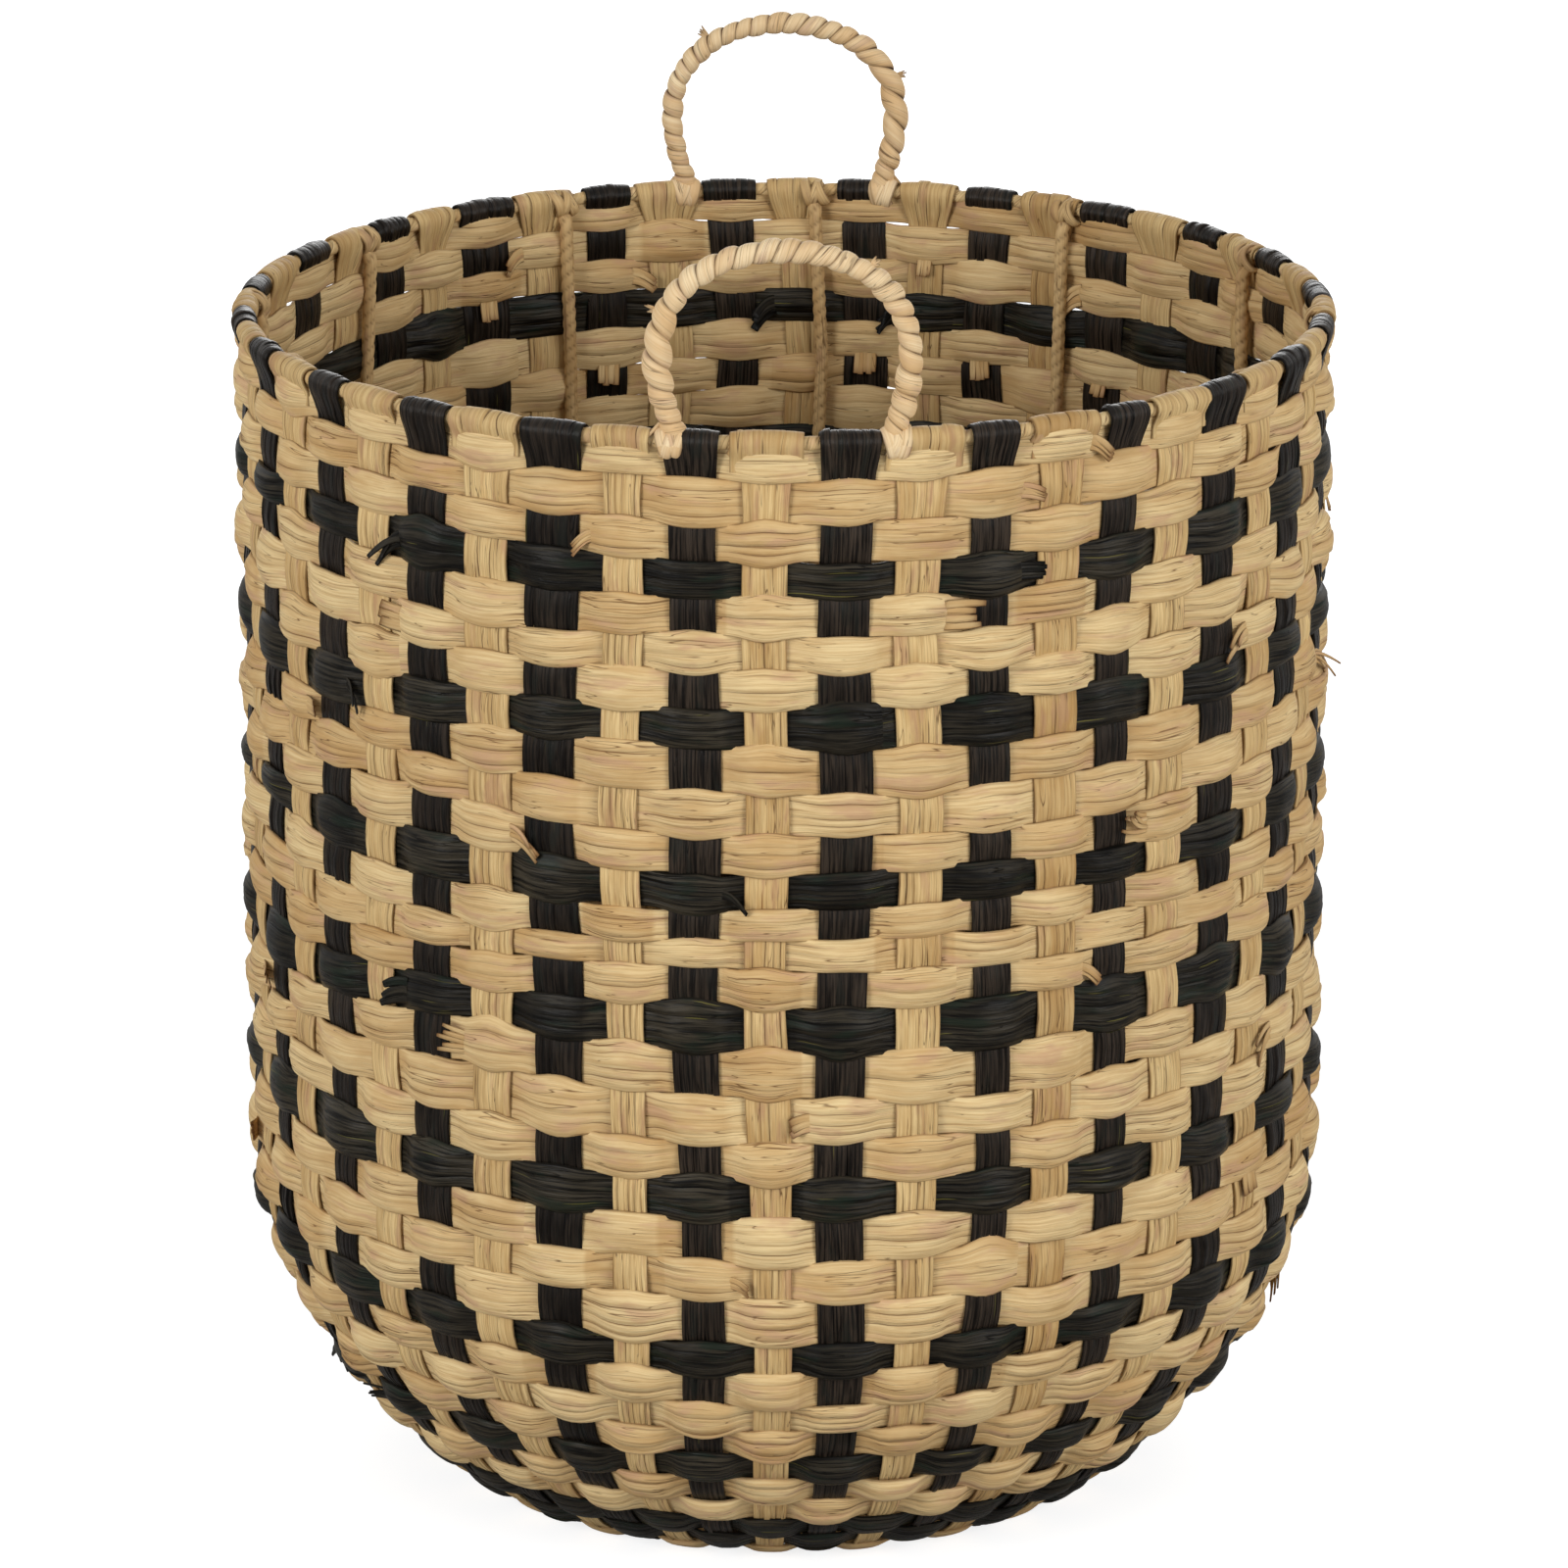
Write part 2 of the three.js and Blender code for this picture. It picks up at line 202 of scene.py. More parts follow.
def row_edges():
    """Arc of the edges between the rounds at every stake: even steps down from the rim, plus a
    lift at the front and one at the back that rise and fade over the height, a bump where the
    rounds are packed, slow waves round the basket and a small random drift of each edge. The last
    rounds share the length between the wall and the mat, and crowd at the corners of the mat."""
    rng = np.random.default_rng(11)
    level = np.arange(row_count + base_rows + 1)[:, None]
    turn = np.arange(stake_count)[None, :] * stake_angle
    even = rim_row_arc + row_pitch * (0.5 - level)
    begun = np.clip(level / lift_rows, 0, 1)
    height = begun * np.clip((front_end_row - level) / front_fade_rows, 0, 1)
    front = ((1 + np.cos(turn)) / 2) ** 3
    back = back_lift * (1 - np.cos(turn)) / 2 * begun
    back = back * np.clip((back_end_row - level) / back_fade_rows, 0, 1)
    bump = np.exp(-((level - packed_row) / packed_spread) ** 2)
    slow = slow_wave * np.sin(level * 0.9 + 2 * np.sin(turn) + 1.7 * np.cos(2 * turn)) * height
    drift = rng.normal(0, edge_drift, (len(level), stake_count))
    drift = (drift + np.roll(drift, 1, axis=1) + np.roll(drift, -1, axis=1)) / 3
    drift[0] *= rim_edge_drift
    calm = np.clip((row_count - level) / calm_rows, 0.2, 1)
    top = top_edge_lift * np.clip(1 - level / 2, 0, 1)
    wall = even + front * (front_lift * height + packed_lift * bump) + back + slow + drift * calm
    wall = wall + top
    share = (np.arange(fan_rows)[:, None] + 1) / fan_rows
    return np.vstack([wall, wall[-1] * (1 - share) - fan_length * share])


edges = row_edges()
row_middle = (edges[:-1] + edges[1:]) / 2

# Each face of a strip has a few long creases that fade in and out, and steps where one fold of
# the flattened stem lies over another. The creases are painted with shade, the darker the deeper,
# and each edge has a narrow band, partly the strip's own browner edge and partly painted contact
# shadow. Widths here are shares of half the strip's width, and the offset and drift of the creases
# are shares of the gap between two.
crease_half = 0.03
crease_offset = 0.22
crease_drift = 0.14
edge_band = 0.06
deep_share = 0.16
fold_share = 0.08
fold_step = 0.6 * MM
facet_step = 0.09 * MM
dark_depth = 0.35 * MM


def crease_table(rng, creases, stations, depth):
    """Places, depths and steps of a face's creases at each station: evenly spaced with a fixed
    offset and a drift from station to station. Some stations are smooth and some deeply creased,
    and a few steps are tall."""
    gap = 2 / (creases + 1)
    middle = gap * (np.arange(creases) + 1) - 1
    middle = middle + gap * rng.uniform(-crease_offset, crease_offset, creases)
    spread = gap * rng.uniform(-crease_drift, crease_drift, (creases, stations))
    deep = rng.random((creases, stations)) < deep_share
    tall = rng.random((creases + 1, stations)) < fold_share
    rough = 0.15 + 1.7 * rng.random(stations) ** 2
    shallow = rough * np.clip(rng.normal(depth, depth, (creases, stations)), 0, None)
    return {
        "place": middle[:, None] + spread,
        "depth": shallow + 2.5 * depth * deep,
        "step": rng.normal(0, facet_step, (creases + 1, stations)) + fold_step * tall,
    }


def creased_face(table, at):
    """Places across a face from -1 to 1, the height added there and how dark it is painted, as
    arrays of stations by points: an edge and the end of its band, which is partly the strip's own
    browner edge and partly painted contact shadow, the middle of a facet, then the two lips and the
    bottom of one of the creases, painted with shade by its depth, and so on to the other edge."""
    place, depth, step = (eased(table[key], at) for key in ("place", "depth", "step"))
    none = np.zeros(len(at))
    across, added = [none - 1, none - 1 + edge_band], [none, step[0] * 0.3]
    dark = [none + 0.5, none]
    creases = len(place)
    for i in range(creases + 1):
        low = place[i - 1] if i else none - 1
        high = place[i] if i < creases else none + 1
        across.append((low + high) / 2)
        added.append(step[i])
        dark.append(none)
        if i < creases:
            # Painted shade: the deeper the fold, the darker its lips and bottom.
            shown = np.clip(depth[i] / dark_depth, 0, 1)
            across += [place[i] - crease_half, place[i], place[i] + crease_half]
            added += [step[i], np.minimum(step[i], step[i + 1]) - depth[i], step[i + 1]]
            dark += [shown * 0.15, shown, shown * 0.15]
    across += [none + 1 - edge_band, none + 1]
    added += [step[-1] * 0.3, none]
    dark += [none, none + 0.5]
    return np.stack(across, axis=1), np.stack(added, axis=1), np.stack(dark, axis=1)


def crown(across):
    """Rounded height of a strip over its width, 1 in the middle and 0 at its edges: 1 less a power
    of the share across, raised to a power below 1."""
    return (1 - np.abs(across) ** 2.4) ** 0.8


def linear(code):
    """An sRGB hex colour as linear red, green, blue and alpha."""
    parts = [int(code[i:i + 2], 16) / 255 for i in (1, 3, 5)]
    return [p / 12.92 if p <= 0.04045 else ((p + 0.055) / 1.055) ** 2.4 for p in parts] + [1.0]


def add_node(tree, kind, inputs=(), **settings):
    """Adds a node with its settings. Each input takes a value, the output of another node, or a
    node for its first output."""
    node = tree.nodes.new("ShaderNode" + kind)
    for name, value in settings.items():
        setattr(node, name, value)
    for name, value in dict(inputs).items():
        if isinstance(value, bpy.types.Node):
            value = value.outputs[0]
        if isinstance(value, bpy.types.NodeSocket):
            tree.links.new(value, node.inputs[name])
        else:
            node.inputs[name].default_value = value
    return node


def plain_material(name, sockets):
    """A new material with values on its shader's own sockets, its node tree and the shader."""
    material = bpy.data.materials.new(name)
    material.use_nodes = True
    shader = material.node_tree.nodes["Principled BSDF"]
    for socket, value in sockets.items():
        shader.inputs[socket].default_value = value
    return material, material.node_tree, shader


def hyacinth(name, pale, deep, patch, line, streak, streak_from, roughness=0.62, gloss=0.25,
             bump=0.6, fibre_width=0.6 * MM, fibre_share=0.5):
    """Finish of a strip. Its colour goes from pale to deep by the piece's own tone and by fine
    fibres, turns to another shade in soft patches, and darkens along thin lines where a noise
    crosses its middle value, most where the tone is above 1. Rare streaks have a colour of their
    own. Last it darkens to its line colour by a point attribute: painted shade in creases, seams,
    grooves, undersides and inside the basket, and at edges partly their own browner colour and
    partly painted contact shadow."""
    material, tree, shader = plain_material(
        name, {"Roughness": roughness, "Specular IOR Level": gloss})
    add = partial(add_node, tree)
    strip = add("UVMap", uv_map="strip")
    tone, painted_shade_and_edges = (
        add("Attribute", attribute_name=label).outputs["Fac"] for label in ("tone", "painted_shade_and_edges"))

    def grain(length, width, detail, shift):
        """A noise drawn out along the fibre, with a place of its own."""
        scaled = add("Mapping", {
            "Vector": strip, "Scale": (1 / length, 1 / width, 1),
            "Location": (shift * 3.7, shift * 1.3, shift)})
        return add("TexNoise", {"Vector": scaled, "Scale": 1.0, "Detail": detail, "Roughness": 0.6})

    fibre = grain(26 * MM, fibre_width, 4, 1)
    thread = grain(60 * MM, 1.3 * MM, 2, 2)
    split = grain(48 * MM, 2.2 * MM, 1, 3)
    own_tone = add("Math", {0: tone, 1: 0.75}, operation="MINIMUM")
    off_middle = add("Math", {0: split, 1: 0.5}, operation="SUBTRACT")
    distance = add("Math", {0: off_middle}, operation="ABSOLUTE")

    # A value between two levels is eased from 0 to the share that is given last.
    rise = {"interpolation_type": "SMOOTHSTEP"}
    aged, clouded, hairline, soft = (
        add("MapRange", {0: value, 1: low, 2: high, 4: share}, **rise)
        for value, low, high, share in (
            (tone, 1.0, 1.3, 0.2), (grain(30 * MM, 8 * MM, 3, 5), 0.35, 0.7, 0.6),
            (distance, 0.013, 0.0, 1.0), (thread, 0.60, 0.72, 0.45)))
    shade = add("Math", {0: own_tone, 1: clouded}, operation="ADD")
    colour = linear(pale)
    for value, low, high, share, code in (
        (shade, 0.0, 1.7, 1.0, deep),
        (fibre, 0.40, 0.62, fibre_share, deep),
        (grain(24 * MM, 6 * MM, 3, 6), 0.52, 0.68, 0.65, patch),
        (grain(36 * MM, 1.0 * MM, 1, 7), streak_from, streak_from + 0.03, 0.9, streak),
    ):
        shown = add("MapRange", {0: value, 1: low, 2: high, 4: share}, **rise)
        colour = add("Mix", {0: shown, 6: colour, 7: linear(code)}, data_type="RGBA").outputs[2]
    where = add("Math", {0: grain(35 * MM, 7 * MM, 2, 4), 1: aged}, operation="ADD")
    likely = add("MapRange", {0: where, 1: 0.40, 2: 0.60, 4: 0.85}, **rise)
    thin = add("Math", {0: hairline, 1: likely}, operation="MULTIPLY")
    lines = add("Math", {0: thin, 1: soft}, operation="MAXIMUM")
    # Painted shade from the point attribute, with edges partly of their own browner colour.
    lines = add("Math", {0: lines, 1: painted_shade_and_edges}, operation="MAXIMUM", use_clamp=True)
    colour = add("Mix", {0: lines, 6: colour, 7: linear(line)}, data_type="RGBA").outputs[2]
    tree.links.new(colour, shader.inputs["Base Color"])
    relief = add("Math", {0: thin, 1: -0.8, 2: thread}, operation="MULTIPLY_ADD")
    relief = add("Math", {0: fibre, 1: relief}, operation="ADD")
    bumped = add("Bump", {"Height": relief, "Strength": bump, "Distance": 0.4 * MM})
    tree.links.new(bumped.outputs["Normal"], shader.inputs["Normal"])
    return material


# Sun-dried stem, unbleached: straw yellow to pinkish tan, matt with a faint satin on the fibre,
# with thin brown lines, painted brown shade along its creases, and odd brown stains. The real
# fibres are about 0.3 mm wide and are drawn two or three times as coarse, so that they show.
natural_stake = hyacinth(
    "natural_hyacinth_stake", pale="#EACD94", deep="#B38A52", patch="#B98E6A", line="#543618",
    streak="#7A5226", streak_from=0.74, roughness=0.64, gloss=0.22, fibre_share=0.55)

# The same stem dyed black before it is woven: a green or brown cast, a low satin sheen on the
# fibre, and odd olive lines that the dye didn't reach.
black_stake = hyacinth(
    "black_dyed_hyacinth_stake", pale="#3E342B", deep="#090604", patch="#1A1D19", line="#030202",
    streak="#5E5A2C", streak_from=0.75, roughness=0.36, gloss=0.12, bump=1.0,
    fibre_width=0.9 * MM, fibre_share=0.95)


def girth_of(outer, inner, width):
    """Metres round a section, from the mean places of its outer face and back along its inner."""
    return np.concatenate([outer.mean(axis=0) + 1, 5 - inner.mean(axis=0), [7]]) * width / 2


def skin(rings, along, girth, tone, painted_shade_and_edges, closed=False):
    """One closed skin over a row of sections of as many points each: quads join neighbouring
    points of neighbouring sections, and an open row gets flat ends. Its map holds the metres
    along the strip and round its section. Returns points, corners, map, face sizes, tone and
    the painted darkness of its points."""
    count, sides = rings.shape[:2]
    spans = count if closed else count - 1
    row = np.arange(spans)[:, None, None] + np.array([0, 1, 1, 0])
    col = np.arange(sides)[None, :, None] + np.array([0, 0, 1, 1])
    loops = (row % count * sides + col % sides).reshape(-1)
    uv = np.stack(np.broadcast_arrays(along[row], girth[col]), axis=-1).reshape(-1, 2)
    sizes = np.full(spans * sides, 4)
    if not closed:
        loops = np.concatenate([
            loops, np.arange(sides)[::-1], np.arange(sides) + (count - 1) * sides])
        uv = np.concatenate([
            uv, np.stack([np.full(2 * sides, along[0]), np.tile(girth[:-1], 2)], axis=-1)])
        sizes = np.append(sizes, [sides, sides])
    points = rings.reshape(-1, 3)
    corners = points[loops[:spans * sides * 4]].reshape(-1, 4, 3)
    volume = sum(
        np.einsum("ij,ij->", corners[:, 0], np.cross(corners[:, k], corners[:, k + 1]))
        for k in (1, 2))
    if volume < 0:
        starts = np.repeat(np.cumsum(sizes) - sizes, sizes)
        order = 2 * starts + np.repeat(sizes, sizes) - 1 - np.arange(len(loops))
        loops, uv = loops[order], uv[order]
    tone, painted_shade_and_edges = (
        np.broadcast_to(values, (count, sides)).reshape(-1) for values in (tone, painted_shade_and_edges))
    return points, loops, uv, sizes, tone, painted_shade_and_edges


# No strip lies lower over the floor than this, and natural ones get painted shade on their
# inner faces, inside the basket.
least_level = 0.05 * MM
inner_painted_shade = 0.14


def strip_skin(rings, faces, along, width, tone, colour, closed=False):
    """Skin of a woven strip from its sections and its outer and inner face, which are places
    across, heights and painted darkness. A natural strip's inner face gets painted shade too."""
    (outer, _, outer_dark), (inner, _, inner_dark) = faces
    rings[..., 2] = np.maximum(rings[..., 2], least_level)
    # Painted shade on the inner faces of natural strips, where the inside of the basket is shaded.
    inner_dark = np.maximum(inner_dark, inner_painted_shade if colour == "natural" else 0)
    painted_shade_and_edges = np.concatenate([outer_dark, inner_dark], axis=1)
    return skin(rings, along, girth_of(outer, inner, width), tone, painted_shade_and_edges, closed)


def add_object(name, data):
    """A new object in the scene, at the origin."""
    thing = bpy.data.objects.new(name, data)
    bpy.context.scene.collection.objects.link(thing)
    return thing


def add_piece(name, skins, material, nodes=()):
    """One piece of one or more closed skins, which rides the basket's one body."""
    offsets = np.cumsum([0] + [len(part[0]) for part in skins])
    loops = np.concatenate([part[1] + offset for part, offset in zip(skins, offsets)])
    points, uv, sizes, tone, painted_shade_and_edges = (
        np.concatenate([part[k] for part in skins]) for k in (0, 2, 3, 4, 5))
    mesh = bpy.data.meshes.new(name)
    mesh.vertices.add(len(points))
    mesh.vertices.foreach_set("co", points.astype(np.float32).ravel())
    mesh.loops.add(len(loops))
    mesh.loops.foreach_set("vertex_index", loops.astype(np.int32))
    mesh.polygons.add(len(sizes))
    mesh.polygons.foreach_set("loop_start", (np.cumsum(sizes) - sizes).astype(np.int32))
    mesh.update(calc_edges=True)
    mesh.polygons.foreach_set("use_smooth", np.ones(len(sizes), dtype=bool))
    mesh.uv_layers.new(name="strip").data.foreach_set("uv", uv.astype(np.float32).ravel())
    for label, values in (("tone", tone), ("painted_shade_and_edges", painted_shade_and_edges)):
        layer = mesh.attributes.new(label, "FLOAT", "POINT")
        layer.data.foreach_set("value", values.astype(np.float32))
    mesh.materials.append(material)
    piece = add_object(name, mesh)
    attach(piece, "root")
    if nodes:
        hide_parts(*nodes)


# The strips are about 1 mm thick, fuller where they show, and spread where they fold.
strip_half_thickness = 0.55 * MM
strip_edge = 0.62 * strip_half_thickness
hidden_puff = 0.18 * MM
shown_puff = 0.48 * MM
cover = {"natural": 0.60, "black": 0.68}
low_narrowing = 0.12
stake_swing = 0.7 * MM
fold_radius = 3.5 * MM
fold_spread = {"natural": 1.6, "black": 1.18}
tuck_depth = 10 * MM
tucked_out = 1.0 * MM
fan_steps = 14
mat_swing = 0.75 * MM
mat_level = 2.3 * MM
mat_half_width = 6.7 * MM
mat_points = 60
steps_per_row = 4
crease_stations = 80
crease_depth = {"natural": 0.15 * MM, "black": 0.2 * MM}
strip_width = 16 * MM
width_spread = 0.08
waver_share = 0.05
waver_length = 45 * MM
waver_count = 12
stake_rng = np.random.default_rng(23)
stake_width = stake_rng.normal(1.0, width_spread, stake_count)


def stake_line(stake):
    """Middle line of a stake from the mat's edge up, its half width and which side of the wall it
    shows on. It swings away from each round, then turns over the wire on a half circle."""
    colour = ("natural", "black")[stake % 2]
    inner = -1 if colour == "natural" else 1
    fan = -fan_length[stake] * (1 - np.arange(1, fan_steps) / fan_steps)
    arc = np.concatenate([fan, np.arange(0, rim_row_arc, row_pitch / steps_per_row)])
    row = np.interp(arc, row_middle[:, stake][::-1], np.arange(len(row_middle))[::-1])
    facing = -np.cos(math.pi * (row + stake))
    swing = stake_swing * facing * np.clip(arc / lowest_row_arc, 0, 1)
    climb = np.linspace(0.15, 0.85, 5)
    turn = np.linspace(0, math.pi, 11)
    tuck = np.linspace(0.2, 1, 6)
    tucked = smooth(np.clip(tuck * 1.6, 0, 1))
    fold_out = np.concatenate([
        inner * (stake_swing + (fold_radius - stake_swing) * smooth(climb)),
        inner * fold_radius * np.cos(turn),
        -inner * (fold_radius - (fold_radius - tucked_out) * tucked),
    ])
    fold_arc = np.concatenate([
        arc[-1] + (rim_arc - arc[-1]) * climb, rim_arc + fold_radius * np.sin(turn),
        rim_arc - tuck_depth * tuck])
    arcs = np.concatenate([arc, fold_arc])
    line = on_wall(float(stake), arcs, np.concatenate([swing, fold_out]))
    radius = np.clip(np.hypot(line[:, 0], line[:, 1]), base_radius, stake_radius)
    waver = eased(stake_rng.normal(0, waver_share, waver_count), arcs / waver_length)
    covered = cover[colour] * (1 - low_narrowing * np.clip(2 - 3 * arcs / rim_arc, 0, 1))
    half = covered / 2 * radius * stake_angle * (stake_width[stake] + waver)
    half = half + (mat_half_width - half) * np.clip(-arcs / fan_length[stake], 0, 1)
    near_fold = np.clip((np.arange(len(arcs)) - len(arc) + 2) / 6, 0, 1)
    half = half * (1 + (fold_spread[colour] - 1) * near_fold)
    return line, half, np.concatenate([facing, np.full(len(fold_arc), float(inner))])


def mat_line(place, is_lengthwise):
    """Middle line of a strip across the mat: over and under the crossing strips as a cosine wave.
    Lengthwise strips lie over where the two places add up to an odd number."""
    reach = (mat_y if is_lengthwise else mat_x) / mat_pitch
    along = np.linspace(-reach, reach, mat_points)
    wave = np.cos(math.pi * (along + place)) * (-1 if is_lengthwise else 1)
    level = mat_level + mat_swing * wave
    flat = [np.full_like(along, place * mat_pitch), along * mat_pitch]
    return np.stack([*(flat if is_lengthwise else flat[::-1]), level], axis=1)


def long_strip(place, is_lengthwise):
    """One strip from rim to rim: a stake on the near side, the mat and a stake on the far side.
    The way across it turns from one stake's to the mat's and the other stake's. A point of a face
    lies its share of the half width across and its height along the normal, which is the way
    along crossed with the way across. The outer face goes across, and the inner comes back."""
    colour = ("natural", "black")[place % 2]
    near = (place if is_lengthwise else 3 * quarter - place) % stake_count
    far = 2 * quarter - place if is_lengthwise else quarter + place
    near_line, near_half, near_showing = stake_line(near)
    far_line, far_half, far_showing = stake_line(far)
    middle = mat_line(place, is_lengthwise)
    line = np.vstack([near_line[::-1], middle, far_line])
    near_across = tangent((near + weave_turn) * stake_angle)
    flat_across = np.array([1.0, 0.0, 0.0] if is_lengthwise else [0.0, -1.0, 0.0])
    far_across = -tangent((far + weave_turn) * stake_angle)
    marks = np.cumsum([
        0, len(near_line) - fan_steps, fan_steps, len(middle) - 1, fan_steps,
        len(far_line) - fan_steps])
    ways = np.stack([near_across, near_across, flat_across, flat_across, far_across, far_across])
    index = np.arange(len(line))
    across = unit(np.stack([np.interp(index, marks, column) for column in ways.T], axis=1))
    half = np.concatenate([near_half[::-1], np.full(len(middle), mat_half_width), far_half])
    half = np.convolve(np.pad(half, 3, mode="edge"), np.ones(7) / 7, mode="valid")
    showing = np.concatenate([near_showing[::-1], np.zeros(len(middle)), far_showing])
    at = np.linspace(0, crease_stations - 1.001, len(line))
    rng = np.random.default_rng(300 + place + (50 if is_lengthwise else 0))
    faces = []
    for side, creases in ((1, 5), (-1, 3)):
        table = crease_table(rng, creases, crease_stations, crease_depth[colour])
        share, added, dark = creased_face(table, at)
        puff = hidden_puff + (shown_puff - hidden_puff) * np.clip(showing * side, 0, 1)
        crowned = (puff[:, None] + strip_half_thickness - strip_edge) * crown(share)
        height = side * (strip_edge + crowned + 0.9 * added)
        faces.append([values[:, ::side] for values in (share, height, dark)])
    normal = unit(np.cross(unit(np.gradient(line, axis=0)), across))
    rings = np.concatenate([
        line[:, None] + across[:, None] * (share * half[:, None])[..., None]
        + normal[:, None] * height[..., None] for share, height, _ in faces], axis=1)
    along = arc_along(line) + rng.uniform(0, 20)
    tone = rng.uniform(0.1, 0.9) + 0.1 * np.sin(along * 40)[:, None]
    kind = "lengthwise" if is_lengthwise else "crosswise"
    number = place + ((lengthwise_strips if is_lengthwise else crosswise_strips) + 1) // 2
    add_piece(
        f"{kind}_stake_{number:02d}",
        [strip_skin(rings, faces, along, strip_width, tone, colour)],
        natural_stake if colour == "natural" else black_stake,
        [f"{kind}_strip_{number:02d}_{colour}"])


for place in lengthwise_places:
    long_strip(place, True)
for place in crosswise_places:
    long_strip(place, False)

# Weavers
# One round each of flattened stem, passed outside one stake and inside the next, so that it puffs
# over a stake that it covers and thins where it dives behind one. Every fourth round from the rim
# is dyed black, and so are two together at the lower edge of the corner.
black_row_every = 4
row_half = (edges[:-1] - edges[1:]) / 2
steps_per_stake = 8
dive = 1.6
float_rise = 1.1 * MM
edge_half = 0.4 * MM
least_puff = 0.3 * MM
most_puff = 3.1 * MM
flat_below = 60 * MM
pinch = 1.03
swell = 1.18
middle_drift = 0.5 * MM
tilt_spread = 0.5 * MM
round_width = 15 * MM
aged_share = 0.04

# Stem like the stakes', paler and a little smoother: straw to sand, with thinner brown lines.
natural_weaver = hyacinth(
    "natural_hyacinth", pale="#ECD29D", deep="#C29961", patch="#CA9F7C", line="#6A4522",
    streak="#94703F", streak_from=0.76)

# Dyed like the black stakes, with a little more green left in its patches.
black_weaver = hyacinth(
    "black_dyed_hyacinth", pale="#403A2F", deep="#060504", patch="#17241B", line="#030202",
    streak="#6B6530", streak_from=0.72, roughness=0.36, gloss=0.11, bump=1.0,
    fibre_width=0.9 * MM, fibre_share=0.95)


def is_black_row(row):
    """Whether a round is dyed, counted from 0 at the rim: every fourth, and one more next to the
    last of them. The rounds under the basket are natural."""
    is_fourth = row % black_row_every == black_row_every - 1
    return row <= row_count and (is_fourth or row == row_count - 1)


def weaver(row):
    """A ring of sections at even places between the stakes. Its middle follows a cosine over the
    stakes, squared off by a hyperbolic tangent, and each face puffs with the height it lies at.
    It starts and ends where it dives between two stakes, at another place for every round."""
    rng = np.random.default_rng(500 + row)
    start = row * 7 % stake_count + 0.5
    place = start + np.arange(stake_count * steps_per_stake) / steps_per_stake
    wave = np.cos(math.pi * (place + row))
    swing = np.tanh(dive * wave) / math.tanh(dive)
    middle = eased(row_middle[row] + rng.normal(0, middle_drift, stake_count), place)
    swollen = eased(rng.normal(swell, 0.06, stake_count), place)
    pinched = eased(rng.normal(pinch, 0.05, stake_count), place)
    half = eased(row_half[row], place) * (pinched + (swollen - pinched) * wave ** 2)
    flatness = np.clip(middle / flat_below, 0.12, 1)
    puffed = eased(np.clip(rng.normal(1, 0.18, stake_count), 0.6, 1.25), place)
    tilt = eased(rng.normal(0, tilt_spread, stake_count), place) * flatness
    faces = []
    for side, creases, depth, roundness in ((1, 3, 0.15 * MM, 1.0), (-1, 2, 0.27 * MM, 1.6)):
        share, added, dark = creased_face(crease_table(rng, creases, stake_count, depth), place)
        puff = ((1 + side * swing) / 2) ** 2.3 * flatness * puffed
        puff = least_puff + (most_puff - least_puff) * puff
        arched = puff[:, None] * crown(share) ** roundness
        height = side * (edge_half + arched + added * np.clip(puff / MM, 0.3, 1)[:, None])
        height = height + (float_rise * swing)[:, None] + tilt[:, None] * share
        faces.append([values[:, ::side] for values in (share, height, dark)])
    rings = np.concatenate([
        on_wall(place[:, None], middle[:, None] + share * half[:, None], height)
        for share, height, _ in faces], axis=1)
    radius = np.interp(row_middle[row].mean(), outline_arc, outline[:, 0])
    along = np.arange(len(place) + 1) / steps_per_stake * stake_angle * radius + row * 1.9

    # A length of strip runs over 5 to 11 stakes before the next is laid in, with its own tone.
    ends = np.cumsum(rng.integers(5, 12, stake_count))
    lengths = np.searchsorted(ends, np.arange(stake_count), side="right")
    tones = rng.normal(0.42, 0.25, stake_count)[lengths] + rng.normal(0, 0.08, stake_count)
    tones = np.clip(tones, 0, 1) + 1.1 * (rng.random(stake_count) < aged_share)
    tone = tones[np.floor(place + 0.5).astype(int) % stake_count][:, None]
    colour = "black" if is_black_row(row) else "natural"
    add_piece(
        f"round_{row + 1:02d}",
        [strip_skin(rings, faces, along, round_width, tone, colour, closed=True)],
        black_weaver if colour == "black" else natural_weaver,
        [f"weaver_{row + 1:02d}_{colour}"] if row < row_count else [])


for row in range(len(row_middle)):
    weaver(row)

# Rim and upright wires
# An iron wire ring carries the rim, with twelve upright wires welded to it inside the wall. The
# ring is wound with natural strip, each turn over the edge of the one before it. The uprights are
# wrapped in a twist of hyacinth fibre and tied to the ring.
rim_core = 1.7 * MM
rim_turns = 132
rim_lap = 0.06
rim_lump = 0.75 * MM
rim_slants = 0.9 * MM, 0.3 * MM
rim_widths = np.random.default_rng(70).uniform(0.8, 1.2, rim_turns)
wound_steps = 18
wound_width = 8 * MM
wound_edge = 0.15 * MM
way_step = 0.2 * MM
seam_band = 0.2


